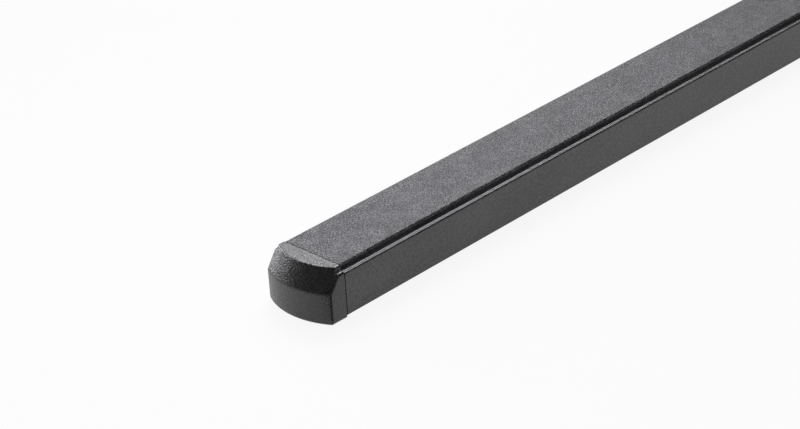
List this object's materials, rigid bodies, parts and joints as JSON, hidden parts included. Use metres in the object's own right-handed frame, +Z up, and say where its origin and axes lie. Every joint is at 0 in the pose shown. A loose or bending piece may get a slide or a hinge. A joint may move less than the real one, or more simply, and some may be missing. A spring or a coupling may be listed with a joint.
{
  "type": "roof rack crossbar",
  "caption": "Straight roof rack crossbar: steel tube in a black polymer sleeve with stepped shoulders, a grained load pad on top and a domed press-in cap at each end.",
  "frame": {"origin": "centre of the bar on the ground, under the two end caps it rests on", "axes": "+X along the bar, +Y across it, +Z up towards the load pad"},
  "size_m": [1.2776, 0.039, 0.0251],
  "materials": {
    "galvanised_steel": "plain galvanised steel, hidden by the sleeve and the caps",
    "sleeve_polymer": "satin black extruded polymer with a very fine texture",
    "pad_rubber": "dark grey soft strip with a fine pebbled grain",
    "cap_polymer": "satin black injection moulding with a fine spark texture"
  },
  "bodies": {
    "root": {"core_tube": "galvanised_steel", "sleeve": "sleeve_polymer", "top_pad": "pad_rubber", "end_cap_left": "cap_polymer", "end_cap_right": "cap_polymer"}
  },
  "joints": []
}
